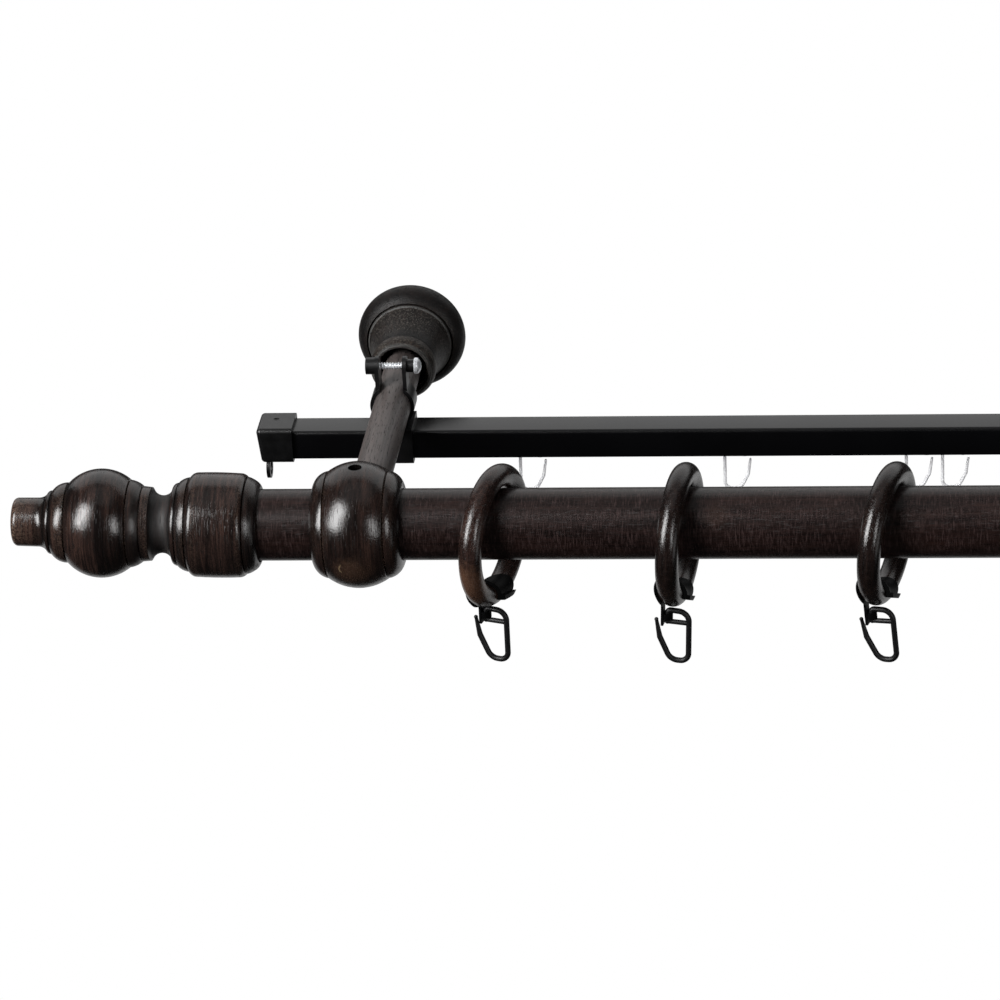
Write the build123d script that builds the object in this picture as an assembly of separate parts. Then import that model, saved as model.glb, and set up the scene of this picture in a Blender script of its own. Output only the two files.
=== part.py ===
from build123d import *
import os
from math import sin, cos, radians, sqrt

# Double curtain rod: a turned wooden pole with rings in front, a slotted rail
# with gliders behind it, both carried by two wooden bracket arms.
# Millimetres. +X along the pole, +Y towards the wall (wall plane Y = 0), +Z up.
# Origin on the wall plane, midway between the two bracket arms' axes.

# ---- driving dimensions ----
POLE_R = 14.0            # 28 mm pole
POLE_HALF = 400.0        # half the pole's length
POLE_Y = -180.0          # pole axis, in front of the wall
BRACKET_X = 340.0        # bracket arms at +-X

FINIAL_X = 378.0         # pole-side end of the finial
FINIAL_BORE_R = 14.45
FINIAL_BORE_DEPTH = 22.8
FINIAL_SIT = 1.3         # degrees: the left finial sits a little crooked on the pole
FINIAL_SIT_X = 389.0     # about the middle of its bore

CUP_BORE_R = 14.15
CUP_HALF = 17.6
CUP_R = 24.8
SET_HOLE_R = 2.7
SET_SCREW_R = 2.62

ARM_R = 7.5
ARM_END_Y = POLE_Y + 19.0
ARM_FIT = 0.05
ARM_SCREW_R = 2.0
INSERT_R = 5.0
INSERT_HOLE_R = 3.4
INSERT_LEN = 18.0

RAIL_Y = -68.0
RAIL_HALF_W = 7.3
RAIL_TOP = -10.2
RAIL_BOTTOM = -22.2
RAIL_WALL = 1.2
RAIL_WEB = 1.6           # top wall
RAIL_SLOT_HALF = 2.5
RAIL_HALF = 392.0

CAP_IN_X = 381.5
CAP_OUT_X = 396.3
CAP_HALF_W = 8.8
CAP_TOP = -8.4
CAP_BOTTOM = -23.5
CAP_DRAFT = 1.6          # the cap's end leans in towards its foot
CAP_EDGE = 1.8

CLAMP_HALF_Y = 4.8
CLAMP_IN_R = 7.6
CLAMP_OUT_R = 9.0
EAR_IN = 4.8
EAR_OUT = 6.4
EAR_R = 4.0
CLAMP_SCREW_Z = 15.9
CLAMP_SCREW_R = 1.5

RING_MAJOR = 23.75
RING_MINOR = 4.5
RING_GAP = 0.3           # between the ring and the top of the pole
# place along the pole, turn about the vertical, lean about the depth axis, the
# hook's own swing, the clip's turn from the ring's lowest point towards the
# front, and the bearing's place across the ring
RINGS = [(-287.4, -16.6, 1.9, -1.0, 15.0, -1.8), (-214.7, -7.8, 3.3, 0.0, 28.0, -2.1),
         (-134.4, -14.1, 4.4, -8.0, 28.0, -2.7), (-56.0, 6.0, 1.5, -1.5, 22.0, -2.4),
         (22.0, -10.0, 2.5, -2.5, 28.0, -2.2), (101.0, 4.0, 0.8, -1.0, 18.0, -2.0),
         (181.0, -7.0, 3.0, -3.0, 26.0, -2.6), (260.0, -12.0, 1.2, -1.2, 20.0, -2.2)]

CLIP_SLANT = 38.0        # the strap crosses the ring at a slant
CLIP_HALF = 4.6          # half the strap's width
CLIP_IN_R = 4.6
CLIP_OUT_R = 5.9
KNUCKLE_R = 2.15
# heights below the ring's tube, at the hook
KNUCKLE_TOP = -2.93
KNUCKLE_BOTTOM = -5.38
WIRE_R = 1.12
WIRE_BORE_R = 1.2

GLIDERS = [-281.5, -198.2, -124.8, -110.2, -20.0, 96.0, 214.0]
STEM_R = 1.2
EYE_BORE_R = 1.28
EYE_R = 2.4
GLIDER_WIRE_R = 0.66

os.makedirs("parts", exist_ok=True)


def save(shape, name):
    export_step(shape, f"parts/{name}.step")


def turned(start, segments):
    """Solid of revolution about X. Each segment is a line to (s, r), or an
    arc through (s, r) to (s, r)."""
    edges, p = [], start
    for g in segments:
        if len(g) == 2:
            edges.append(Line(p, g))
            p = g
        else:
            edges.append(ThreePointArc(p, (g[0], g[1]), (g[2], g[3])))
            p = (g[2], g[3])
    if abs(p[0] - start[0]) > 1e-9 or abs(p[1] - start[1]) > 1e-9:
        edges.append(Line(p, start))
    return revolve(Face(Wire(edges)), Axis.X)


def dome(s0, r0, s1):
    """Spherical end from (s0, r0) to the axis at s1, as an arc segment."""
    h = s1 - s0
    big = (r0 * r0 + h * h) / (2 * h)
    return (s1 - big + sqrt(big * big - r0 * r0 / 4), r0 / 2, s1, 0)


def along_x(r, x0, x1, y=0.0, z=0.0):
    return Pos((x0 + x1) / 2, y, z) * Rot(0, 90, 0) * Cylinder(r, abs(x1 - x0))


def along_y(r, y0, y1, x=0.0, z=0.0):
    return Pos(x, (y0 + y1) / 2, z) * Rot(90, 0, 0) * Cylinder(r, abs(y1 - y0))


def along_z(r, z0, z1, x=0.0, y=0.0):
    return Pos(x, y, (z0 + z1) / 2) * Cylinder(r, abs(z1 - z0))


def block(x0, x1, y0, y1, z0, z1):
    return Pos((x0 + x1) / 2, (y0 + y1) / 2, (z0 + z1) / 2) * Box(
        abs(x1 - x0), abs(y1 - y0), abs(z1 - z0))


def single(shape):
    """The one solid of a fused shape."""
    s = shape.solids()
    assert len(s) == 1, len(s)
    return s[0]


# ---- pole ----
pole = along_x(POLE_R, -POLE_HALF, POLE_HALF, POLE_Y)
save(single(pole), "pole")

# ---- finial: turned, s from the pole-side end ----
finial = turned((0.8, FINIAL_BORE_R), [
    (0.8, 15.0),
    (1.6, 16.55, 3.0, 17.7),
    (4.3, 18.45, 5.6, 18.95),
    (5.95, 18.3), (6.3, 19.35),                 # groove
    (7.2, 20.0, 8.8, 20.38),
    (17.5, 20.62, 25.4, 20.46),                 # barrel
    (27.2, 19.95, 28.2, 18.95),
    (28.6, 17.95), (29.0, 18.5),                # groove
    (31.0, 17.9, 32.5, 16.95),
    (32.85, 15.95), (33.2, 16.25),              # groove
    (34.2, 15.98, 34.8, 15.45),                 # thin bead
    (35.0, 14.9),
    (39.5, 11.3, 43.4, 13.9),                   # cove
    (43.7, 14.45), (46.9, 14.75),               # fillet ring
    (47.15, 14.45), (47.4, 15.05),
    (49.4, 16.35, 51.9, 17.15),
    (52.2, 16.5), (52.5, 17.45),                # groove
    (63.3, 21.4, 76.2, 16.15),                  # ball
    (76.6, 15.15), (77.0, 15.75),               # groove
    (80.2, 15.05, 82.8, 12.95),
    (83.05, 12.15), (83.35, 12.5),
    (84.2, 12.3, 84.8, 11.75),                  # thin bead
    (85.1, 11.3),
    (86.4, 10.2, 88.8, 9.62),
    (96.6, 9.5),                                # tip
    (98.1, 8.75, 98.6, 7.3),
    dome(98.6, 7.3, 99.35),
    (FINIAL_BORE_DEPTH, 0), (FINIAL_BORE_DEPTH, FINIAL_BORE_R),
])
finial = single(finial)
save(Pos(FINIAL_X, POLE_Y, 0) * finial, "finial_right")
save(Pos(-FINIAL_SIT_X, POLE_Y, -0.1) * Rot(0, FINIAL_SIT, 0)
     * Pos(FINIAL_SIT_X - FINIAL_X, 0, 0) * Rot(0, 0, 180) * finial, "finial_left")

# ---- cup: turned pole holder, with set-screw hole, arm socket, screw seat ----
cup = turned((-CUP_HALF, CUP_BORE_R), [
    (-CUP_HALF, 15.3),
    (-15.7, 18.95, -12.15, 20.9),
    (-11.8, 20.35), (-11.4, 21.2),
    (0, CUP_R, 11.4, 21.2),
    (11.8, 20.35), (12.15, 20.9),
    (15.7, 18.95, CUP_HALF, 15.3),
    (CUP_HALF, CUP_BORE_R),
])
ARM_DEPTH = ARM_END_Y - POLE_Y
cup -= along_z(SET_HOLE_R, 10.0, 30.0)
cup -= along_y(ARM_R + ARM_FIT, ARM_DEPTH, 30.0)
cup -= along_y(ARM_SCREW_R + 0.1, 10.0, 25.0)
seat = turned((10.0, 0), [(10.0, 4.2), (14.7, 4.2), (16.8, 2.1), (16.8, 0)])
cup -= Rot(0, 0, 90) * seat
cup = single(cup)
for side, x in (("left", -BRACKET_X), ("right", BRACKET_X)):
    save(Pos(x, POLE_Y, 0) * cup, f"cup_{side}")

# set screw: slotted, its flat end just clear of the pole
set_screw = along_z(SET_SCREW_R, POLE_R + 0.05, 22.2)
set_screw -= block(-0.45, 0.45, -4, 4, 20.9, 23.5)
set_screw = single(set_screw)
save(Compound(children=[Pos(-BRACKET_X, POLE_Y, 0) * set_screw,
                        Pos(BRACKET_X, POLE_Y, 0) * set_screw]), "cup_set_screws")

# ---- arm: dowel from the cup to the wall ----
arm = along_y(ARM_R, ARM_END_Y, 0.0)
arm -= along_y(ARM_SCREW_R + 0.05, ARM_END_Y - 1, ARM_END_Y + 28.0)
arm -= along_y(INSERT_R, -INSERT_LEN, 1.0)
arm = single(arm)
for side, x in (("left", -BRACKET_X), ("right", BRACKET_X)):
    save(Pos(x, 0, 0) * arm, f"arm_{side}")

# countersunk screw from the cup's bore into the arm
csk = turned((14.75, 0), [(14.75, 4.0), (16.75, 2.0), (44.0, 2.0), (46.0, 0)])
csk -= block(14.0, 15.6, -2.4, 2.4, -0.4, 0.4)
csk -= block(14.0, 15.6, -0.4, 0.4, -2.4, 2.4)
csk = single(csk)
save(Compound(children=[Pos(x, POLE_Y, 0) * Rot(0, 0, 90) * csk
                        for x in (-BRACKET_X, BRACKET_X)]), "arm_screws")

# threaded insert in the arm's wall end
insert = along_y(INSERT_R, -INSERT_LEN, 0.0) - along_y(INSERT_HOLE_R, -30.0, 10.0)
insert = single(insert)
save(Compound(children=[Pos(x, 0, 0) * insert
                        for x in (-BRACKET_X, BRACKET_X)]), "wall_inserts")

# ---- rosette: turned, w from the wall ----
rosette = turned((0, ARM_R + ARM_FIT), [
    (0, 20.8),
    (4.6, 22.25, 11.6, 18.6),                   # rim
    (12.0, 18.0), (11.2, 17.55), (12.9, 17.05),  # groove that faces the room
    (13.3, 16.65),
    (21.5, 14.0, 30.6, 12.3),                   # cove
    (31.0, 12.1),
    (35.4, 13.6, 39.2, 12.1),                   # collar
    (39.95, 11.4, 39.8, 10.7),
    (36.6, 10.5), (36.6, 9.7), (28.0, 9.6), (28.0, ARM_R + ARM_FIT),
])
rosette = single(Rot(0, 0, -90) * rosette)
for side, x in (("left", -BRACKET_X), ("right", BRACKET_X)):
    save(Pos(x, 0, 0) * rosette, f"rosette_{side}")

# ---- rail: inverted channel with a slot underneath, as its straight walls ----
W, T = RAIL_HALF_W, RAIL_WALL
rail_plane = Plane(origin=(-RAIL_HALF, RAIL_Y, 0), x_dir=(0, 1, 0), z_dir=(1, 0, 0))


def strip(y0, y1, z0, z1):
    return Pos((y0 + y1) / 2, (z0 + z1) / 2) * Rectangle(abs(y1 - y0), z1 - z0)


def run(section):
    return single(extrude(rail_plane * section, 2 * RAIL_HALF))


web = strip(-W, W, RAIL_TOP - RAIL_WEB, RAIL_TOP)
web = fillet(web.vertices().group_by(Axis.Y)[-1], 1.5)
save(run(web), "rail_top")
save(Compound(children=[run(strip(s * (W - T), s * W, RAIL_BOTTOM + T, RAIL_TOP - RAIL_WEB))
                        for s in (-1, 1)]), "rail_sides")
lips = []
for s in (-1, 1):
    lip = strip(s * RAIL_SLOT_HALF, s * W, RAIL_BOTTOM, RAIL_BOTTOM + T)
    corner = lip.vertices().group_by(Axis.Y)[0].sort_by(Axis.X)[0 if s < 0 else -1]
    lips.append(run(fillet(corner, 0.4)))
save(Compound(children=lips), "rail_lips")

# ---- rail end cap, with an eyelet under it ----
side_view = Plane(origin=(0, CAP_HALF_W, 0), x_dir=(1, 0, 0), z_dir=(0, -1, 0))
outline = Polyline((CAP_IN_X, CAP_TOP), (CAP_OUT_X, CAP_TOP), (CAP_OUT_X - CAP_DRAFT, CAP_BOTTOM),
                   (CAP_IN_X, CAP_BOTTOM), close=True)
cap = extrude(side_view * make_face(outline), 2 * CAP_HALF_W)
mouth = cap.faces().sort_by(Axis.X)[0]
cap = fillet([e for e in cap.edges() if e not in mouth.edges()], CAP_EDGE)
cap -= block(CAP_IN_X - 1, RAIL_HALF + 0.2, -W - 0.1, W + 0.1,
             RAIL_BOTTOM - 0.1, RAIL_TOP + 0.1)
cap -= Pos(388.9, -1.5, CAP_TOP + 1.5) * Sphere(2.0)
eye = along_x(4.5, 392.2, 393.7, 0, -29.2) + block(392.2, 393.7, -2.9, 2.9, -28.0, -23.0)
eye -= along_x(3.0, 380, 400, 0, -29.3)
cap = single(cap + eye)
save(Pos(0, RAIL_Y, 0) * cap, "rail_end_cap_right")
save(Pos(0, RAIL_Y, 0) * Rot(0, 0, 180) * cap, "rail_end_cap_left")

# ---- rail clamp: strap round the arm, ears on top, clip round the rail ----
strap = along_y(CLAMP_OUT_R, -CLAMP_HALF_Y, CLAMP_HALF_Y)
strap += block(-EAR_OUT, EAR_OUT, -EAR_R, EAR_R, 0, CLAMP_SCREW_Z)
strap += along_x(EAR_R, -EAR_OUT, EAR_OUT, 0, CLAMP_SCREW_Z)
strap -= block(-EAR_IN, EAR_IN, -10, 10, 0, 30)
strap -= along_y(CLAMP_IN_R, -10, 10)
strap += along_x(3.45, -10.2, -5.2, 0, CLAMP_SCREW_Z)
strap += along_x(2.7, 5.2, 9.4, 0, CLAMP_SCREW_Z)
clip = block(-7.8, 7.8, -9.1, 9.1, -23.9, -8.3)
clip = fillet(clip.edges().filter_by(Axis.X), 1.0)
clip -= block(-20, 20, -W - 0.15, W + 0.15, RAIL_BOTTOM - 0.15, RAIL_TOP + 0.15)
clip -= block(-20, 20, -4.5, 4.5, -30, -20)
clamp = strap + clip
clamp -= along_y(CLAMP_IN_R, -20, 20)
clamp -= along_x(CLAMP_SCREW_R + 0.15, -20, 20, 0, CLAMP_SCREW_Z)
clamp -= along_x(2.6, -12.0, -5.9, 0, CLAMP_SCREW_Z)
clamp = single(clamp)
for side, x in (("left", -BRACKET_X), ("right", BRACKET_X)):
    save(Pos(x, RAIL_Y, 0) * clamp, f"rail_clamp_{side}")

# clamp screw: pan head with a cross slot
c_screw = turned((-9.6, 0), [
    (-9.6, 1.1), (-9.2, CLAMP_SCREW_R), (9.45, CLAMP_SCREW_R), (9.45, 3.3), (10.9, 3.25),
    dome(10.9, 3.25, 12.5)])
c_screw -= block(11.3, 13.5, -1.9, 1.9, -0.4, 0.4)
c_screw -= block(11.3, 13.5, -0.4, 0.4, -1.9, 1.9)
c_screw = single(c_screw)
save(Compound(children=[Pos(x, RAIL_Y, CLAMP_SCREW_Z) * c_screw
                        for x in (-BRACKET_X, BRACKET_X)]), "clamp_screws")
nut = along_x(2.6, -9.9, -5.9) - along_x(CLAMP_SCREW_R + 0.03, -20, 0)
nut = single(nut)
save(Compound(children=[Pos(x, RAIL_Y, CLAMP_SCREW_Z) * nut
                        for x in (-BRACKET_X, BRACKET_X)]), "clamp_nuts")


# ---- round wire ----
def wire(points, radii, r):
    path = FilletPolyline(*points, radius=radii)
    return sweep(Plane(origin=path @ 0, z_dir=path % 0) * Circle(r), path=path), path


def taper(a, b, r0, r1):
    a, b = Vector(*a), Vector(*b)
    d = b - a
    return Solid.make_cone(r0, r1, d.length, Plane(origin=a, z_dir=d.normalized()))


# ---- ring, its clip and its hook, in the ring's own frame (axis X) ----
def tube(r):
    return Rot(0, 90, 0) * Torus(RING_MAJOR, r)


ring = single(tube(RING_MINOR))
shell = single(tube(CLIP_OUT_R) - tube(CLIP_IN_R))
ridge_shell = single(tube(7.0) - tube(CLIP_IN_R))


def hook_seat(turn):
    """Depth of the hook's plane, and the tube's underside there."""
    y = -RING_MAJOR * sin(radians(turn)) + 0.15
    return y, -sqrt((RING_MAJOR + RING_MINOR) ** 2 - y * y)


def make_hook(turn, kx):
    """Arch, bearing pin and bar above, open loop below."""
    y, z = hook_seat(turn)
    right = kx + 8.54
    pts = [(kx, y, z - 6.58), (kx, y, z - 1.58), (right, y, z - 1.88), (right, y, z - 23.28), (kx + 1.3, y, z - 23.28)]
    end = (kx - 3.0, y, z - 13.78)
    tip = (kx - 4.4, y, z - 6.28)
    body, path = wire(pts + [end], [1.35, 4.2, 3.4, 4.5], WIRE_R)
    hook = body + taper(end, tip, WIRE_R, 0.66) + Pos(*end) * Sphere(WIRE_R)
    hook += Pos(*tip) * Sphere(0.8)
    hook += along_x(1.0, kx, right, y, z - 6.58) + Pos(kx, y, z - 6.58) * Sphere(WIRE_R)
    return single(hook)


def make_clip(turn, kx, swing):
    """Strap half round the ring's tube, a plate beside it, and the hook's bearing."""
    y, z = hook_seat(turn)
    clip_at = Rot(-turn, 0, 0) * Pos(0, 0, -RING_MAJOR)       # on the tube's centre line
    slab = Rot(0, 0, CLIP_SLANT) * Box(40, 2 * CLIP_HALF, 40)
    gap = block(kx - 1.1, 20, -20, 20, -20, -1.2)
    strap = (shell & (clip_at * slab)) - (clip_at * Rot(0, swing, 0) * gap)
    end_zone = block(0, 20, -20, 20, -1.2, 0.7)
    ridge = ridge_shell & (clip_at * slab) & (clip_at * Rot(0, swing, 0) * end_zone)
    plate = block(kx - 2.3, kx - 1.3, y - 1.9, y + 1.9, z - 8.0, z + 2.8)
    plate += along_z(KNUCKLE_R, z + KNUCKLE_BOTTOM, z + KNUCKLE_TOP, kx, y)
    plate -= along_z(WIRE_BORE_R, -45, -20, kx, y)
    return single(strap + ridge + swung(turn, swing) * plate - tube(CLIP_IN_R))


def swung(turn, swing):
    c = (0, -RING_MAJOR * sin(radians(turn)), -RING_MAJOR * cos(radians(turn)))
    return Pos(*c) * Rot(0, swing, 0) * Pos(-c[0], -c[1], -c[2])


for i, (x, yaw, lean, swing, turn, kx) in enumerate(RINGS, 1):
    z = POLE_R + RING_GAP + RING_MINOR - RING_MAJOR * cos(radians(lean))
    at = Pos(x, POLE_Y, z) * Rot(0, 0, yaw) * Rot(0, lean, 0)
    save(at * ring, f"ring_{i}")
    save(at * make_clip(turn, kx, swing), f"ring_clip_{i}")
    save(at * swung(turn, swing) * make_hook(turn, kx), f"ring_hook_{i}")

# ---- glider: slider in the rail, stem through the slot ----
slider = block(-6, 6, -4.6, 4.6, -20.7, -17.3)
slider = fillet(slider.edges().filter_by(Axis.Z), 1.5)
slider += block(-4, 4, -2.0, 2.0, -22.5, -20.0)
slider += along_z(STEM_R, -24.5, -22.0)
slider += along_z(1.8, -24.8, -24.35)
slider = single(slider)

g_end = (0.9, 0, -33.7)
g_tip = (2.1, 0, -26.9)
R_G = GLIDER_WIRE_R
body, path = wire([(-1.7, 0, -23.5), (-8.2, 0, -23.5), (-8.6, 0, -39.8), (-2.3, 0, -39.8), g_end],
                  [1.3, 2.7, 3.6], R_G)
g_hook = body + taper(g_end, g_tip, R_G, 0.5) + Pos(*g_end) * Sphere(R_G)
g_hook += Pos(*g_tip) * Sphere(0.5)
g_hook += along_z(EYE_R, -24.25, -22.75)
g_hook -= along_z(EYE_BORE_R, -27.0, -21.0)
g_hook = single(g_hook)
for i, x in enumerate(GLIDERS, 1):
    save(Pos(x, RAIL_Y, 0) * slider, f"glider_{i}")
    save(Pos(x, RAIL_Y, 0) * g_hook, f"glider_hook_{i}")
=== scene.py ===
import math

import bmesh
import bpy
from mathutils import Matrix, Vector


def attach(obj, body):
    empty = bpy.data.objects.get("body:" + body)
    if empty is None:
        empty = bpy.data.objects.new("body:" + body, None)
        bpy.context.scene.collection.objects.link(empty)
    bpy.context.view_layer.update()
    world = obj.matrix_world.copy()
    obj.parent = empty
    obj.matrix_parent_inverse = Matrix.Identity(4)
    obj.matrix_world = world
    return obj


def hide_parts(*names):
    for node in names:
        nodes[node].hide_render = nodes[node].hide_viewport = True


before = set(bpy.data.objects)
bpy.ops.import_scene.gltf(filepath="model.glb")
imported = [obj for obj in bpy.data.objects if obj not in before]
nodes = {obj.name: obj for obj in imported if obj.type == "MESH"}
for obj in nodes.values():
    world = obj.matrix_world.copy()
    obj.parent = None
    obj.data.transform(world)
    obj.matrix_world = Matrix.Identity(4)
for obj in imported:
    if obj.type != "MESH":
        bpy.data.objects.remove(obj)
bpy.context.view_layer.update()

scene = bpy.context.scene

MM = 0.001
POLE_Y = -0.180
BRACKET_X = 0.340
FINIAL_X = 0.378
RAIL_Y = -0.068
POLE_R = 0.014
POLE_HALF = 0.400
FINIAL_SIT = 1.3
FINIAL_SIT_X = 0.389
RAIL_HALF = 0.392
CLAMP_SCREW_Z = 0.0159
# place along the pole, turn about the vertical, lean about the depth axis
RINGS = [(-287.4, -16.6, 1.9), (-214.7, -7.8, 3.3), (-134.4, -14.1, 4.4),
         (-56.0, 6.0, 1.5), (22.0, -10.0, 2.5), (101.0, 4.0, 0.8),
         (181.0, -7.0, 3.0), (260.0, -12.0, 1.2)]
GLIDERS = [-281.5, -198.2, -124.8, -110.2, -20.0, 96.0, 214.0]


# ------------------------------------------------------------------ nodes
class Mat:
    """A Principled material with short calls for its nodes."""

    def __init__(self, name):
        self.m = bpy.data.materials.new(name)
        self.m.use_nodes = True
        self.t = self.m.node_tree
        self.t.nodes.clear()
        self.out = self.new("ShaderNodeOutputMaterial")
        self.b = self.new("ShaderNodeBsdfPrincipled")
        self.link(self.b.outputs[0], self.out.inputs["Surface"])
        tc = self.new("ShaderNodeTexCoord")
        self.obj = tc.outputs["Object"]

    def new(self, kind):
        return self.t.nodes.new(kind)

    def link(self, a, b):
        self.t.links.new(a, b)

    def put(self, socket, v):
        if isinstance(v, bpy.types.NodeSocket):
            self.link(v, socket)
        elif v is not None:
            socket.default_value = v

    def math(self, op, a, b=None, c=None, clamp=False):
        n = self.new("ShaderNodeMath")
        n.operation = op
        n.use_clamp = clamp
        for i, v in enumerate((a, b, c)):
            if v is not None:
                self.put(n.inputs[i], v)
        return n.outputs[0]

    def vec(self, op, a, b=None):
        n = self.new("ShaderNodeVectorMath")
        n.operation = op
        self.put(n.inputs[0], a)
        if op == "SCALE":
            self.put(n.inputs["Scale"], b)
        elif b is not None:
            self.put(n.inputs[1], b)
        return n.outputs["Value"] if op in ("LENGTH", "DOT_PRODUCT", "DISTANCE") else n.outputs[0]

    def sep(self, v):
        n = self.new("ShaderNodeSeparateXYZ")
        self.put(n.inputs[0], v)
        return n.outputs[0], n.outputs[1], n.outputs[2]

    def comb(self, x, y, z):
        n = self.new("ShaderNodeCombineXYZ")
        for s, v in zip(n.inputs, (x, y, z)):
            self.put(s, v)
        return n.outputs[0]

    def noise(self, v, scale=1.0, detail=3.0, rough=0.55, warp=0.0, lac=2.0):
        n = self.new("ShaderNodeTexNoise")
        n.noise_dimensions = "3D"
        self.put(n.inputs["Vector"], v)
        n.inputs["Scale"].default_value = scale
        n.inputs["Detail"].default_value = detail
        n.inputs["Roughness"].default_value = rough
        n.inputs["Lacunarity"].default_value = lac
        n.inputs["Distortion"].default_value = warp
        return n.outputs[0]

    def range(self, v, a, b, c=0.0, d=1.0, smooth=True):
        n = self.new("ShaderNodeMapRange")
        n.interpolation_type = "SMOOTHSTEP" if smooth else "LINEAR"
        n.clamp = True
        self.put(n.inputs["Value"], v)
        for k, x in zip(("From Min", "From Max", "To Min", "To Max"), (a, b, c, d)):
            n.inputs[k].default_value = x
        return n.outputs[0]

    def ramp(self, v, stops, mode="LINEAR"):
        n = self.new("ShaderNodeValToRGB")
        n.color_ramp.interpolation = mode
        e = n.color_ramp.elements
        while len(e) > 1:
            e.remove(e[-1])
        first = True
        for p, c in stops:
            c = (c, c, c) if isinstance(c, (int, float)) else c
            if first:
                e[0].position, e[0].color = p, (*c, 1)
                first = False
            else:
                x = e.new(p)
                x.color = (*c, 1)
        self.put(n.inputs[0], v)
        return n.outputs[0]

    def mix(self, f, a, b, mode="MIX"):
        n = self.new("ShaderNodeMix")
        n.data_type = "RGBA"
        n.blend_type = mode
        self.put(n.inputs["Factor"], f)
        for s, v in ((n.inputs[6], a), (n.inputs[7], b)):
            if isinstance(v, tuple):
                v = (*v, 1) if len(v) == 3 else v
            self.put(s, v)
        return n.outputs[2]

    def bump(self, h, dist, strength=1.0, normal=None):
        n = self.new("ShaderNodeBump")
        n.inputs["Strength"].default_value = strength
        n.inputs["Distance"].default_value = dist
        self.put(n.inputs["Height"], h)
        if normal is not None:
            self.put(n.inputs["Normal"], normal)
        return n.outputs[0]

    def local(self, centre, turn=(0, 0, 0)):
        """Coordinates in the frame of a piece that stands at centre, turned by turn."""
        n = self.new("ShaderNodeMapping")
        n.vector_type = "TEXTURE"
        n.inputs["Location"].default_value = centre
        n.inputs["Rotation"].default_value = turn
        self.put(n.inputs["Vector"], self.obj)
        return n.outputs[0]

    def done(self, color=None, rough=None, normal=None, **sockets):
        b = self.b
        if color is not None:
            self.put(b.inputs["Base Color"], (*color, 1) if isinstance(color, tuple) else color)
        if rough is not None:
            self.put(b.inputs["Roughness"], rough)
        if normal is not None:
            self.put(b.inputs["Normal"], normal)
        for k, v in sockets.items():
            b.inputs[k.replace("_", " ")].default_value = v
        return self.m


def wear(node, material):
    o = nodes[node] if isinstance(node, str) else node
    o.data.materials.clear()
    o.data.materials.append(material)


# ------------------------------------------------------------------ stained wood
BLACK = (0.0034, 0.0021, 0.0019)
DARK = (0.0096, 0.0052, 0.0044)
BROWN = (0.0265, 0.0136, 0.0108)
WARM = (0.0560, 0.0275, 0.0200)
TAN = (0.1500, 0.0930, 0.0660)
RUST = (0.0740, 0.0370, 0.0225)


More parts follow.
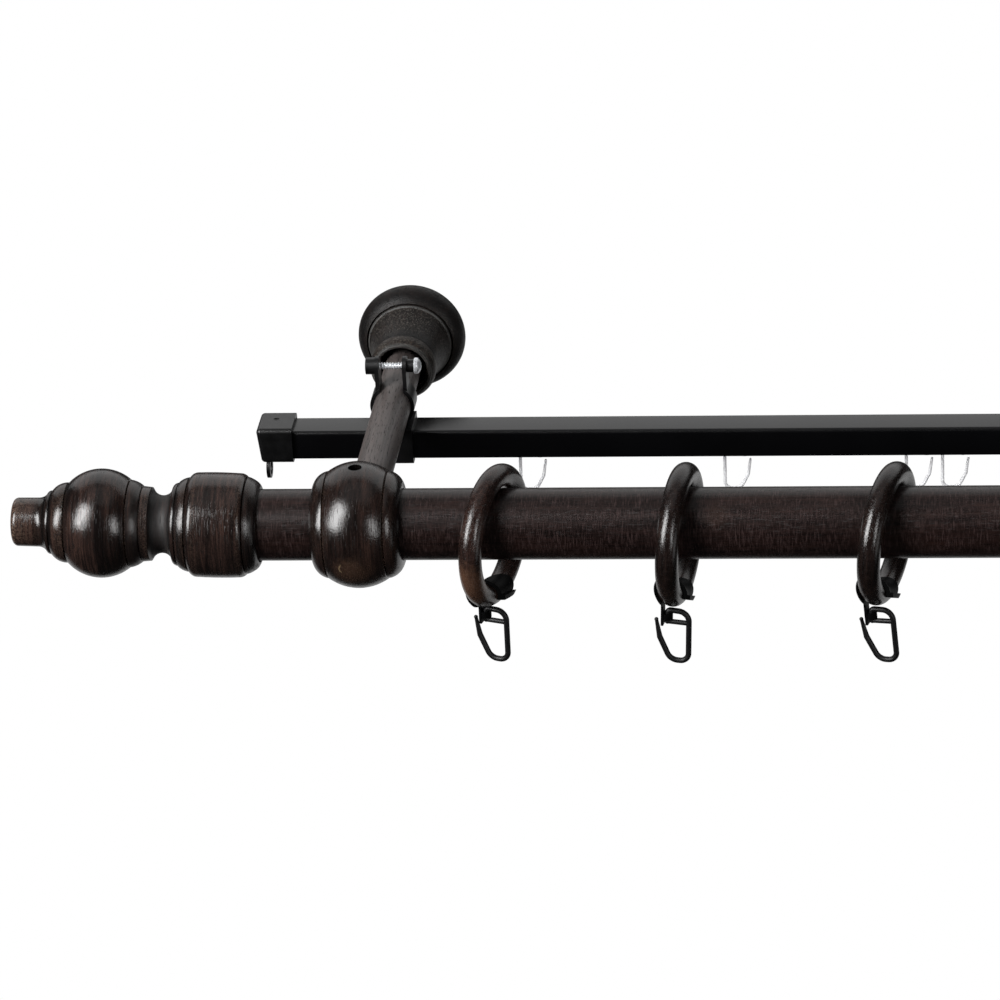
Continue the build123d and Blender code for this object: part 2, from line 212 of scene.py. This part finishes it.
def wood(name, grain="X", place=None, turn=(0, 0, 0), ticks=1.0, tone=1.0, pores=1.0,
         painted_shade=None, wear_and_painted_light=None, patch=None, rough=0.30, grey=0.0, peel=1.0, contrast=1.0, relief=1.0, pit=1.0,
         speckle=None, specular=0.5, scratch_and_highlight=None, tint=(1, 1, 1), dull=None,
         lines=0.0, scratch_and_highlight_colour=(0.190, 0.125, 0.070), flat=1.0):
    """Dark stained, satin-varnished wood. grain is the axis that the fibres run
    along. The shade, wear and patch arguments are functions of (material,
    coordinates in mm) that give factors for painted shade in grooves, coves, ends
    and hollows, for rubbed-through edges plus painted light in groove bottoms and a
    painted highlight on the finial tips, and for rusty patches."""
    k = Mat(name)
    p = k.local(place, turn) if place is not None else k.obj
    p = k.vec("SCALE", p, 1000.0)
    x, y, z = k.sep(p)
    u, v, w = {"X": (x, y, z), "Y": (y, z, x), "Z": (z, x, y)}[grain]
    if flat != 1.0:
        w = k.math("MULTIPLY", w, flat)

    def along(a, b, offset=0.0):
        """Coordinates stretched along the grain: a per mm along, b per mm across."""
        return k.comb(k.math("MULTIPLY_ADD", u, a, offset),
                      k.math("MULTIPLY", v, b), k.math("MULTIPLY", w, b))

    figure = k.noise(along(0.014, 0.15, 3.1), 1.0, 3.0, 0.55, 0.6)
    streak = k.noise(along(0.045, 0.85, 7.7), 1.0, 4.0, 0.62, 0.3)
    fibre = k.noise(along(0.25, 3.6, 1.3), 1.0, 2.0, 0.6)
    blotch = k.noise(k.vec("SCALE", p, 0.055), 1.0, 2.0, 0.5)
    grain_sum = k.math("ADD", k.math("MULTIPLY", figure, 0.36), k.math("MULTIPLY", streak, 0.46))
    grain_sum = k.math("ADD", grain_sum, k.math("MULTIPLY", blotch, 0.18))
    grain_sum = k.math("MULTIPLY_ADD", k.math("SUBTRACT", grain_sum, 0.5), contrast, 0.5)
    c = k.ramp(grain_sum, [(0.32, BLACK), (0.43, DARK), (0.54, BROWN), (0.68, WARM)])
    # fine fibre contrast
    c = k.mix(k.range(fibre, 0.34, 0.64, 0.55, 1.0), (0, 0, 0), c)
    # pores: short dark dashes along the grain
    pore = k.noise(along(0.26, 2.3, 11.0), 1.0, 1.0, 0.4)
    pore = k.range(pore, 0.60, 0.70)
    c = k.mix(k.math("MULTIPLY", pore, 0.8 * pores, clamp=True), c, BLACK)
    # long dark lines along the grain
    if lines:
        dark_line = k.range(k.noise(along(0.022, 0.95, 5.3), 1.0, 2.0, 0.55), 0.40, 0.50, 1.0, 0.0)
        c = k.mix(k.math("MULTIPLY", dark_line, lines), c, BLACK)
    # turning marks: short light ticks across the grain
    tick_v = k.comb(k.math("MULTIPLY", u, 4.0), k.math("MULTIPLY", v, 0.27), k.math("MULTIPLY", w, 0.27))
    tick = k.noise(tick_v, 1.0, 1.0, 0.5)
    where = k.range(k.noise(k.vec("SCALE", p, 0.16), 1.0, 2.0, 0.6), 0.30, 0.62, 0.50, 1.0)
    tick = k.range(tick, 0.46, 0.72)
    lit = k.math("MULTIPLY", k.math("MULTIPLY", tick, where), 0.62 * ticks, clamp=True)
    c = k.mix(lit, c, (0.094, 0.064, 0.058))
    # rubbed edges and painted light, broken up by the grain
    speck = k.noise(k.vec("SCALE", p, 1.5), 1.0, 3.0, 0.65)
    curl = k.noise(k.vec("SCALE", p, 0.9), 1.0, 1.0, 0.5, 1.6)
    if patch is not None:
        f = patch(k, p)
        c = k.mix(f, c, RUST)
        line = k.range(k.math("ABSOLUTE", k.math("SUBTRACT", curl, 0.5)), 0.012, 0.045, 0.75, 0.0)
        c = k.mix(k.math("MULTIPLY", k.math("MULTIPLY", line, f), k.range(speck, 0.42, 0.60)), c, TAN)
    # rubbed edges, plus painted light: groove bottoms lifted against their shade and a painted highlight on the
    # finial tips
    if wear_and_painted_light is not None:
        f = k.math("MULTIPLY", wear_and_painted_light(k, p), k.range(speck, 0.40, 0.64))
        c = k.mix(f, c, TAN)
    if speckle is not None:
        dots = k.range(k.noise(k.vec("SCALE", p, 1.7), 1.0, 2.0, 0.7), 0.55, 0.62)
        c = k.mix(k.math("MULTIPLY", dots, speckle(k, p)), c, (0.340, 0.260, 0.210))
    # scratches, and on the rosette painted highlight lines along its rubbed edges
    if scratch_and_highlight is not None:
        c = k.mix(scratch_and_highlight(k, p), c, scratch_and_highlight_colour)
    # painted shade: grooves, coves, ends and hollows mixed towards near black
    if painted_shade is not None:
        c = k.mix(painted_shade(k, p), c, (0.0020, 0.0016, 0.0015))
    if grey:
        c = k.mix(grey, c, (0.060, 0.051, 0.048))
        if lines:
            c = k.mix(k.math("MULTIPLY", dark_line, 0.45 * lines), c, BLACK)
        c = k.mix(k.math("MULTIPLY", pore, 0.85, clamp=True), c, BLACK)
    c = k.mix(1.0, c, tuple(tone * v for v in tint), "MULTIPLY")
    # varnish: grainy skin, open pores, faint turning lines
    skin = k.noise(k.vec("SCALE", p, 1.15), 1.0, 3.0, 0.7)
    height = k.math("MULTIPLY_ADD", skin, 0.7 * peel, k.math("MULTIPLY", pore, -0.55 * pores * pit))
    height = k.math("MULTIPLY_ADD", tick, -0.05 * ticks, height)
    height = k.math("MULTIPLY_ADD", fibre, 0.25, height)
    nrm = k.bump(height, 0.00010 * relief, 1.0)
    r = k.math("MULTIPLY_ADD", streak, 0.14, rough - 0.09)
    r = k.math("MULTIPLY_ADD", speck, 0.12, r)
    r = k.math("MULTIPLY_ADD", pore, 0.18, r)
    if dull is not None:
        r = k.math("ADD", r, dull(k, p))
    return k.done(c, r, nrm, IOR=1.5, Specular_IOR_Level=specular)


def bands(table, span):
    """A factor from a list of (mm, value) along a 0..span axis."""
    def f(k, s):
        return k.ramp(k.math("DIVIDE", s, span), [(max(0.0, min(1.0, a / span)), b) for a, b in table])
    return f


def finial_left_s(k, p):
    return k.math("SUBTRACT", (FINIAL_SIT_X - FINIAL_X) * 1000, k.sep(p)[0])


def finial_right_s(k, p):
    return k.sep(p)[0]


# painted shade along the turning: the grooves, the cove, the end at the pole and the ball's half towards the pole
def finial_painted_shade(s_of):
    def f(k, p):
        s = s_of(k, p)
        inner = bands([(0.0, 0.95), (1.4, 0.55), (4.8, 0.45), (5.6, 0.55), (6.3, 0.45), (7.3, 0.12), (9.0, 0.02),
                       (25.4, 0.05), (27.0, 0.35), (28.4, 0.55), (29.2, 0.50), (31.8, 0.55), (32.7, 0.75),
                       (33.5, 0.40), (34.6, 0.55), (35.2, 1.0), (36.8, 0.55), (41.6, 0.60), (43.2, 0.95),
                       (43.8, 0.15), (46.6, 0.15), (47.1, 0.5), (47.9, 0.0)], 100.0)(k, s)
        outer = bands([(47.3, 0.0), (47.9, 0.30), (51.0, 0.45), (52.1, 0.55), (53.4, 0.50), (57.0, 0.50), (61.0, 0.42), (64.5, 0.10), (73.0, 0.08),
                       (75.4, 0.40), (76.5, 0.50), (77.4, 0.15), (81.2, 0.30), (82.9, 0.95), (83.5, 0.45),
                       (84.7, 0.65), (85.3, 0.95), (87.4, 0.45), (90.0, 0.0)], 100.0)(k, s)
        return k.math("MAXIMUM", inner, outer)
    return f


# rubbed edges and tip; the groove bottoms at 52 and 76.5 mm are painted light against their shade, and the tip's
# wear carries a painted highlight
def finial_wear_and_painted_light(s_of):
    def f(k, p):
        return bands([(6.2, 0.0), (7.0, 0.20), (8.8, 0.03), (22.0, 0.02), (25.6, 0.12), (26.8, 0.0), (28.2, 0.0), (28.5, 0.30), (29.2, 0.20), (31.4, 0.0),
                      (43.4, 0.0), (43.9, 0.14), (46.4, 0.10), (46.9, 0.0), (47.6, 0.0), (49.4, 0.05), (51.7, 0.0), (52.0, 0.40), (52.4, 0.40), (52.7, 0.0),
                      (76.1, 0.0), (76.4, 0.40), (76.8, 0.40), (77.6, 0.18), (80.8, 0.14), (82.2, 0.0), (88.5, 0.10), (93.5, 0.24),
                      (96.4, 0.40), (97.8, 0.65), (98.6, 0.28), (99.4, 0.08)], 100.0)(k, s_of(k, p))
    return f


def finial_dull(s_of):
    """The coves kept less varnish than the swells."""
    def f(k, p):
        return bands([(0.0, 0.10), (5.0, 0.06), (7.0, 0.0), (29.0, 0.0), (30.0, 0.05), (32.6, 0.05), (34.4, 0.0), (36.0, 0.42), (42.4, 0.42),
                      (43.6, 0.08), (47.0, 0.06), (47.8, 0.14), (51.4, 0.12), (52.6, 0.0)], 100.0)(k, s_of(k, p))
    return f


def cup_h(k, p):
    x = k.sep(p)[0]
    h = k.math("SUBTRACT", k.math("ABSOLUTE", x), BRACKET_X * 1000)
    return k.math("ABSOLUTE", h)


# painted shade in the cup's groove, at its ends and inside the set screw's hole
def cup_painted_shade(k, p):
    groove = bands([(0, 0.0), (10.6, 0.0), (11.4, 0.0), (11.8, 0.10), (12.3, 0.0), (15.4, 0.15), (16.6, 0.5), (17.6, 0.95)],
                   18.0)(k, cup_h(k, p))
    # painted shade inside the set screw's hole
    x, y, z = k.sep(p)
    across = k.vec("LENGTH", k.comb(cup_h(k, p), k.math("ADD", y, -POLE_Y * 1000), 0.0))
    hole = k.math("MULTIPLY", k.range(across, 2.9, 3.4, 0.95, 0.0), k.range(z, 0.0, 5.0))
    return k.math("MAXIMUM", groove, hole)


# rubbed edges; the groove bottom at 11.8 mm is painted light against its shade
def cup_wear_and_painted_light(k, p):
    return bands([(0, 0.03), (9.8, 0.02), (10.9, 0.08), (11.4, 0.15), (11.8, 0.50), (12.2, 0.10), (13.6, 0.05), (15.4, 0.10), (16.6, 0.03), (17.6, 0)],
                 18.0)(k, cup_h(k, p))


def cup_scratch(k, p):
    """A small curved scratch low on the left cup's front."""
    d = k.vec("DISTANCE", p, (-342.9, -203.0, -8.0))
    arc = k.range(k.math("ABSOLUTE", k.math("SUBTRACT", d, 2.6)), 0.14, 0.42, 0.95, 0.0)
    return k.math("MULTIPLY", arc, k.range(k.sep(p)[0], -344.9, -344.3, 1.0, 0.0))


def cup_patch(k, p):
    return k.math("MULTIPLY", blob(k, p, (-340.5, -202.4, -10.0), 10.0, 0.3), 0.50)


def rosette_w(k, p):
    return k.math("MULTIPLY", k.sep(p)[1], -1.0)


# painted shade along the rosette's depth: its grooves and the edge at the wall
def rosette_painted_shade(k, p):
    return bands([(0, 0.5), (2, 0.15), (7.5, 0.10), (10.3, 0.35), (11.1, 0.55), (12.1, 0.3), (12.6, 0.0), (14.0, 0.05), (26.0, 0.15), (29.4, 0.65),
                  (30.9, 0.95), (32.0, 0.25), (34.0, 0.0), (38.0, 0.0), (39.2, 0.10), (40.0, 0.3)], 40.0)(k, rosette_w(k, p))


def rosette_worn(k, p):
    return bands([(0, 0.0), (10.9, 0.0), (11.5, 0.50), (12.2, 0.45), (12.7, 0.95), (13.4, 1.0), (14.1, 0.25), (18.0, 0.24), (25.0, 0.24), (29.5, 0.05),
                  (31.2, 0.0), (33.0, 0.70), (37.0, 0.85), (38.8, 1.0), (40.0, 0.8)], 40.0)(k, rosette_w(k, p))


def rosette_speckle(k, p):
    return bands([(0, 0.04), (11.0, 0.05), (13.5, 0.80), (20.0, 0.90), (28.0, 0.70), (30.5, 0.05), (33.0, 0.95), (40.0, 0.95)], 40.0)(k, rosette_w(k, p))


def rosette_edge_wear_and_highlight(k, p):
    """The thin edges of groove and collar are rubbed light and carry a painted highlight line."""
    return bands([(12.2, 0.0), (12.6, 0.65), (13.1, 0.65), (13.5, 0.0), (38.6, 0.0), (39.2, 0.45), (39.8, 0.45), (40.0, 0.2)], 40.0)(k, rosette_w(k, p))


# painted shade: the arm darkens towards the wall, where it runs under the rail
def arm_painted_shade(k, p):
    return k.range(k.sep(p)[1], -150.0, -70.0, 0.0, 0.55)


def blob(k, p, centre, radius, soft=0.6):
    """1 in a ball about centre (mm), falling to 0 at its edge."""
    d = k.vec("DISTANCE", p, centre)
    n = k.noise(k.vec("SCALE", p, 0.35), 1.0, 3.0, 0.6)
    d = k.math("MULTIPLY_ADD", n, radius * 0.8, k.math("SUBTRACT", d, radius * 0.4))
    return k.range(d, radius * soft, radius, 1.0, 0.0)


# ------------------------------------------------------------------ mesh helpers
def mesh_piece(name, bm, material, body, replaces=(), smooth=True, sharp=40):
    me = bpy.data.meshes.new(name)
    bm.normal_update()
    bm.to_mesh(me)
    bm.free()
    o = bpy.data.objects.new(name, me)
    scene.collection.objects.link(o)
    me.materials.append(material)
    if smooth:
        me.shade_smooth()
        me.set_sharp_from_angle(angle=math.radians(sharp))
    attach(o, body)
    if replaces:
        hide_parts(*replaces)
    return o


def turned_bm(profile, segments, to_world):
    """Revolves (s, r) points about the X axis, closed at r = 0 ends, and places it."""
    bm = bmesh.new()
    rings = []
    for s, r in profile:
        if r < 1e-9:
            rings.append([bm.verts.new(to_world @ Vector((s, 0, 0)))])
        else:
            rings.append([bm.verts.new(to_world @ Vector((s, r * math.cos(a), r * math.sin(a))))
                          for a in (2 * math.pi * i / segments for i in range(segments))])
    for a, b in zip(rings, rings[1:]):
        for i in range(segments):
            j = (i + 1) % segments
            if len(a) == 1:
                bm.faces.new((a[0], b[j], b[i]))
            elif len(b) == 1:
                bm.faces.new((a[i], a[j], b[0]))
            else:
                bm.faces.new((a[i], a[j], b[j], b[i]))
    bmesh.ops.recalc_face_normals(bm, faces=bm.faces)
    return bm


# ------------------------------------------------------------------ camera
AZ, EL, ROLL, DIST, LENS = 7.7, 26.0, 3.672, 2.5, 231.93
TARGET = Vector((-0.28404, -0.180, 0.0103))
a, e, r = (math.radians(v) for v in (AZ, EL, ROLL))
back = Vector((math.sin(a) * math.cos(e), -math.cos(a) * math.cos(e), math.sin(e)))
right = Vector((math.cos(a), math.sin(a), 0))
up = back.cross(right)
right, up = math.cos(r) * right - math.sin(r) * up, math.sin(r) * right + math.cos(r) * up
cam_data = bpy.data.cameras.new("camera")
cam_data.sensor_width = 36.0
cam_data.lens = LENS
cam_data.clip_start, cam_data.clip_end = 0.05, 60.0
cam = bpy.data.objects.new("camera", cam_data)
scene.collection.objects.link(cam)
m = Matrix((right, up, back)).transposed().to_4x4()
m.translation = TARGET + back * DIST
cam.matrix_world = m
scene.camera = cam

# ------------------------------------------------------------------ materials
def pole_patch(k, p):
    a = blob(k, p, (-199.0, -191.0, 8.5), 7.0, 0.2)
    return k.math("MULTIPLY", a, 0.24)


pole_mat = wood("pole_wood", "X", ticks=1.15, pores=0.35, patch=pole_patch, rough=0.26, contrast=0.75, tone=0.46, peel=0.4, relief=0.6,
                specular=0.32, tint=(1.0, 0.92, 0.96))
wear("pole", pole_mat)
wear("finial_left", wood("finial_left_wood", "Z", place=(-FINIAL_SIT_X, POLE_Y, -0.0001),
                         turn=(0, math.radians(FINIAL_SIT), 0), ticks=0.0, painted_shade=finial_painted_shade(finial_left_s),
                         wear_and_painted_light=finial_wear_and_painted_light(finial_left_s), rough=0.155, contrast=1.3, tone=1.35, pit=0.2, relief=0.9, lines=0.60, flat=0.10, tint=(0.84, 0.91, 0.94),
                         dull=finial_dull(finial_left_s)))
wear("finial_right", wood("finial_right_wood", "Z", place=(FINIAL_X, POLE_Y, 0), ticks=0.0,
                          painted_shade=finial_painted_shade(finial_right_s), wear_and_painted_light=finial_wear_and_painted_light(finial_right_s),
                          rough=0.155, contrast=1.3, tone=1.35, pit=0.2, relief=0.9, lines=0.60, flat=0.10, tint=(0.84, 0.91, 0.94),
                          dull=finial_dull(finial_right_s)))
cup_mat = wood("cup_wood", "Z", ticks=0.0, pores=0.6, painted_shade=cup_painted_shade, wear_and_painted_light=cup_wear_and_painted_light, patch=cup_patch, rough=0.165, contrast=1.3, tone=0.78, pit=0.25, relief=0.9, scratch_and_highlight=cup_scratch, lines=0.30, flat=0.15,
               tint=(0.86, 0.92, 0.95))
wear("cup_left", cup_mat)
wear("cup_right", cup_mat)
arm_mat = wood("arm_wood", "Y", ticks=0.0, pores=1.3, rough=0.42, grey=0.60, tone=1.70, painted_shade=arm_painted_shade, lines=0.75)
wear("arm_left", arm_mat)
wear("arm_right", arm_mat)
rosette_mat = wood("rosette_wood", "Y", ticks=0.0, pores=1.2, painted_shade=rosette_painted_shade, wear_and_painted_light=rosette_worn, rough=0.40, grey=0.12, tone=0.36, scratch_and_highlight=rosette_edge_wear_and_highlight, scratch_and_highlight_colour=(0.36, 0.31, 0.28), speckle=rosette_speckle, specular=0.20, relief=2.2, contrast=1.4,
                   tint=(0.74, 0.88, 0.96))
wear("rosette_left", rosette_mat)
wear("rosette_right", rosette_mat)


def ring_patch_1(k, p):
    return k.math("MULTIPLY", blob(k, p, (-3.5, -21.5, -9.5), 15.0, 0.4), 0.95)


def ring_worn_2(k, p):
    return k.math("MULTIPLY", blob(k, p, (-3.0, -18.5, -13.0), 9.0, 0.2), 0.45)


for i, (x, yaw, lean) in enumerate(RINGS, 1):
    zc = 14.0 + 0.3 + 4.5 - 23.75 * math.cos(math.radians(lean))
    rot = (Matrix.Rotation(math.radians(yaw), 3, "Z") @ Matrix.Rotation(math.radians(lean), 3, "Y")).to_euler("XYZ")
    ring_mat = wood(f"ring_wood_{i}", "Z", place=(x * MM, POLE_Y, zc * MM), turn=tuple(rot),
                    ticks=0.25, rough=0.165, tone=0.92 if i == 1 else 0.54, pit=0.3,
                    tint=(1, 1, 1) if i == 1 else (0.84, 0.92, 0.96), patch=ring_patch_1 if i == 1 else None,
                    wear_and_painted_light=ring_worn_2 if i == 2 else None)
    wear(f"ring_{i}", ring_mat)


def black_plastic(name, tone, rough, specular=0.5):
    k = Mat(name)
    p = k.vec("SCALE", k.obj, 1000.0)
    n = k.noise(k.vec("SCALE", p, 1.6), 1.0, 3.0, 0.6)
    d = k.noise(k.vec("SCALE", p, 0.25), 1.0, 3.0, 0.6)
    c = k.ramp(d, [(0.3, tuple(tone * v for v in (0.0040, 0.0040, 0.0044))), (0.7, tuple(tone * v for v in (0.0080, 0.0080, 0.0088)))])
    r = k.math("MULTIPLY_ADD", d, 0.16, rough)
    return k.done(c, r, k.bump(n, 0.00003, 0.6), IOR=1.5, Specular_IOR_Level=specular)


plastic = black_plastic("black_plastic", 0.3, 0.26)
hook_plastic = black_plastic("hook_plastic", 0.6, 0.38, 0.28)
clip_plastic = black_plastic("clip_plastic", 0.3, 0.40, 0.04)
for side in ("left", "right"):
    wear(f"rail_end_cap_{side}", plastic)
    wear(f"rail_clamp_{side}", plastic)
for i in range(1, len(RINGS) + 1):
    wear(f"ring_clip_{i}", clip_plastic)
    wear(f"ring_hook_{i}", hook_plastic)


def rail_black():
    k = Mat("rail_lacquer")
    p = k.vec("SCALE", k.obj, 1000.0)
    x, y, z = k.sep(p)
    draw = k.noise(k.comb(k.math("MULTIPLY", x, 0.01), k.math("MULTIPLY", y, 3.0), k.math("MULTIPLY", z, 3.0)), 1.0, 2.0, 0.5)
    d = k.noise(k.vec("SCALE", p, 0.03), 1.0, 3.0, 0.6)
    c = k.ramp(d, [(0.3, (0.0006, 0.0006, 0.0009)), (0.7, (0.0010, 0.0010, 0.0014))])
    r = k.math("MULTIPLY_ADD", d, 0.10, 0.20)
    return k.done(c, r, k.bump(draw, 0.00001, 0.5), IOR=1.5)


rail_mat = rail_black()
rail_nodes = [n for n in ("rail", "rail_top", "rail_sides", "rail_lips") if n in nodes]
for n in rail_nodes:
    wear(n, rail_mat)


def clear_plastic():
    k = Mat("clear_plastic")
    p = k.vec("SCALE", k.obj, 1000.0)
    n = k.noise(k.vec("SCALE", p, 0.6), 1.0, 2.0, 0.5)
    r = k.math("MULTIPLY_ADD", n, 0.10, 0.32)
    c = k.ramp(n, [(0.3, (0.80, 0.80, 0.815)), (0.7, (0.87, 0.87, 0.88))])
    return k.done(c, r, None, IOR=1.40, Transmission_Weight=0.35)


clear = clear_plastic()
for i in range(1, len(GLIDERS) + 1):
    wear(f"glider_{i}", clear)
    wear(f"glider_hook_{i}", clear)


def metal(name, colour, rough, scale, amount, metallic=1.0):
    k = Mat(name)
    p = k.vec("SCALE", k.obj, 1000.0)
    n = k.noise(k.vec("SCALE", p, scale), 1.0, 3.0, 0.6)
    c = k.ramp(n, [(0.3, tuple(v * 0.75 for v in colour)), (0.7, colour)])
    r = k.math("MULTIPLY_ADD", n, 0.2, rough - 0.1)
    return k.done(c, r, k.bump(n, 0.00002, amount), Metallic=metallic)


zinc = metal("zinc_plate", (0.86, 0.88, 0.91), 0.30, 1.4, 0.3, 0.6)
oxide = metal("black_oxide", (0.05, 0.048, 0.047), 0.40, 2.0, 0.6)
brass = metal("brass_insert", (0.58, 0.42, 0.18), 0.30, 1.4, 0.5)
wear("clamp_screws", zinc)
wear("wall_inserts", zinc)
wear("cup_set_screws", oxide)
wear("arm_screws", oxide)
wear("clamp_nuts", brass)

for o in nodes.values():
    o.data.shade_smooth()
    o.data.set_sharp_from_angle(angle=math.radians(32))

# ------------------------------------------------------------------ finer meshes
# pole: round, with eased ends
ends = [(-400.0, 0.0), (-400.0, 13.5), (-399.85, 13.85), (-399.5, 14.0), (-399.3, 14.0), (-398.0, 14.0), (-300.0, 14.0), (-150.0, 14.0)]
profile = [(a * MM, b * MM) for a, b in ends + [(-a, b) for a, b in reversed(ends)]]
mesh_piece("pole_turned", turned_bm(profile, 144, Matrix.Translation((0, POLE_Y, 0))), pole_mat,
           "root", ("pole",))


# rail: drawn channel with rounded upper edges
def corner(cy, cz, r, a0, a1, n):
    return [(cy + r * math.cos(math.radians(a0 + (a1 - a0) * i / n)),
             cz + r * math.sin(math.radians(a0 + (a1 - a0) * i / n))) for i in range(n + 1)]


def rail_section():
    w, t, top, bot, slot = 7.3, 1.2, -10.2, -22.2, 2.5
    right = [(slot, bot)] + corner(w - 0.4, bot + 0.4, 0.4, -90, 0, 4) + corner(w - 1.6, top - 1.6, 1.6, 0, 90, 12)
    inner = [(slot, bot + t), (w - t, bot + t), (w - t, top - 1.6)]
    left = [(-y, z) for y, z in reversed(right)]
    return right + left + [(-y, z) for y, z in inner] + inner[::-1]


bm = bmesh.new()
rows = [[bm.verts.new((sx * RAIL_HALF, RAIL_Y + y * MM, z * MM)) for y, z in rail_section()] for sx in (-1, 1)]
count = len(rows[0])
for i in range(count):
    j = (i + 1) % count
    bm.faces.new((rows[0][i], rows[0][j], rows[1][j], rows[1][i]))
bm.faces.new(rows[0])
bm.faces.new(rows[1][::-1])
bmesh.ops.recalc_face_normals(bm, faces=bm.faces)
mesh_piece("rail_drawn", bm, rail_mat, "root", tuple(rail_nodes))


# clamp screws: rolled thread, pan head with a cross recess
def screw_into(bm, x0):
    seg, pitch, start, seat = 40, 1.15, -9.5, 9.45
    steps = int((seat - start) / 0.09)
    prev = None

    def put(x, y, z):
        return bm.verts.new((x0 + x * MM, RAIL_Y + y * MM, CLAMP_SCREW_Z + z * MM))

    for i in range(steps + 1):
        x = start + (seat - start) * i / steps
        lead = min(1.0, max(0.0, (x - start) / 1.0))
        row = []
        for j in range(seg):
            a = 2 * math.pi * j / seg
            ph = (x / pitch - j / seg) % 1.0
            ridge = max(0.0, 1.0 - abs(ph - 0.5) / 0.40)
            rr = (0.98 + 0.50 * min(1.0, ridge * 1.25)) * (0.72 + 0.28 * lead)
            row.append(put(x, rr * math.cos(a), rr * math.sin(a)))
        if prev:
            for j in range(seg):
                bm.faces.new((prev[j], prev[(j + 1) % seg], row[(j + 1) % seg], row[j]))
        else:
            bm.faces.new(row[::-1])
        prev = row
    # head, from its seat to the crown, with the recess pressed into it
    hs = 96
    outer = [(9.45, 1.48), (9.45, 3.05), (9.60, 3.25), (10.80, 3.25), (11.05, 3.12)]
    prev = None
    for x, rr in outer:
        row = [put(x, rr * math.cos(2 * math.pi * j / hs), rr * math.sin(2 * math.pi * j / hs)) for j in range(hs)]
        if prev:
            for j in range(hs):
                bm.faces.new((prev[j], prev[(j + 1) % hs], row[(j + 1) % hs], row[j]))
        prev = row
    for i in range(1, 25):
        rr = 3.12 * (1 - i / 24)
        if i == 24:
            tip = put(11.35, 0, 0)
            for j in range(hs):
                bm.faces.new((prev[j], prev[(j + 1) % hs], tip))
            break
        row = []
        for j in range(hs):
            a = 2 * math.pi * j / hs
            y, z = rr * math.cos(a), rr * math.sin(a)
            x = 11.05 + 1.40 * (1 - (rr / 3.12) ** 2)
            if (abs(y) < 0.46 and abs(z) < 1.9) or (abs(z) < 0.46 and abs(y) < 1.9):
                x = 11.35
            row.append(put(x, y, z))
        for j in range(hs):
            bm.faces.new((prev[j], prev[(j + 1) % hs], row[(j + 1) % hs], row[j]))
        prev = row


bm = bmesh.new()
for x0 in (-BRACKET_X, BRACKET_X):
    screw_into(bm, x0)
bmesh.ops.recalc_face_normals(bm, faces=bm.faces)
mesh_piece("clamp_screws_threaded", bm, zinc, "root", ("clamp_screws",), sharp=35)

# ------------------------------------------------------------------ stage and light
def emission(name, strength, colour=(1, 1, 1)):
    mt = bpy.data.materials.new(name)
    mt.use_nodes = True
    t = mt.node_tree
    t.nodes.clear()
    out = t.nodes.new("ShaderNodeOutputMaterial")
    em = t.nodes.new("ShaderNodeEmission")
    em.inputs["Color"].default_value = (*colour, 1)
    em.inputs["Strength"].default_value = strength
    t.links.new(em.outputs[0], out.inputs["Surface"])
    return mt


def sheet(name, corners, material):
    me = bpy.data.meshes.new(name)
    me.from_pydata(corners, [], [(0, 1, 2, 3)])
    o = bpy.data.objects.new(name, me)
    me.materials.append(material)
    scene.collection.objects.link(o)
    return o


pale = emission("pale_floor", 1.0)
floor = sheet("floor", [(-24, -24, -12.0), (24, -24, -12.0), (24, 24, -12.0), (-24, 24, -12.0)], pale)
bm = bmesh.new()
bmesh.ops.create_icosphere(bm, subdivisions=3, radius=28.0)
me = bpy.data.meshes.new("backdrop")
bm.to_mesh(me)
bm.free()
backdrop = bpy.data.objects.new("backdrop", me)
me.materials.append(emission("pale_backdrop", 1.0))
scene.collection.objects.link(backdrop)
for o in (floor, backdrop):
    o.visible_diffuse = o.visible_glossy = o.visible_shadow = o.visible_volume_scatter = False

world = bpy.data.worlds.new("world")
scene.world = world
world.use_nodes = True
bg = world.node_tree.nodes["Background"]
bg.inputs[0].default_value = (1, 1, 1, 1)
bg.inputs[1].default_value = 0.02


def area(name, az, el, dist, w, h, radiance, about=(-0.15, -0.12, 0.0), colour=(1, 1, 1)):
    """A soft panel seen from about at azimuth az (0 in front, + to the right) and
    elevation el, w by h metres, of the given radiance."""
    d = bpy.data.lights.new(name, "AREA")
    d.shape = "RECTANGLE"
    d.size, d.size_y = w, h
    d.energy = radiance * math.pi * w * h
    d.color = colour
    o = bpy.data.objects.new(name, d)
    scene.collection.objects.link(o)
    a, e = math.radians(az), math.radians(el)
    out = Vector((math.sin(a) * math.cos(e), -math.cos(a) * math.cos(e), math.sin(e)))
    o.location = Vector(about) + out * dist
    o.rotation_mode = "QUATERNION"
    o.rotation_quaternion = out.to_track_quat("Z", "Y")
    o.visible_camera = False
    return o


area("key", -50, 30, 3.0, 1.35, 2.2, 17.0)
area("fill", 42, 14, 3.2, 0.5, 1.6, 11.0)
area("behind", 180, 34, 3.0, 6.0, 3.0, 0.9)
area("over", 0, 88, 2.6, 3.0, 2.2, 0.30)
area("under", 180, -38, 3.0, 6.0, 2.4, 0.55)
area("low_right", 75, -12, 3.0, 1.2, 1.2, 1.0)

scene.view_settings.view_transform = "Standard"
scene.view_settings.look = "None"
scene.view_settings.exposure = 0.0
scene.view_settings.gamma = 1.0
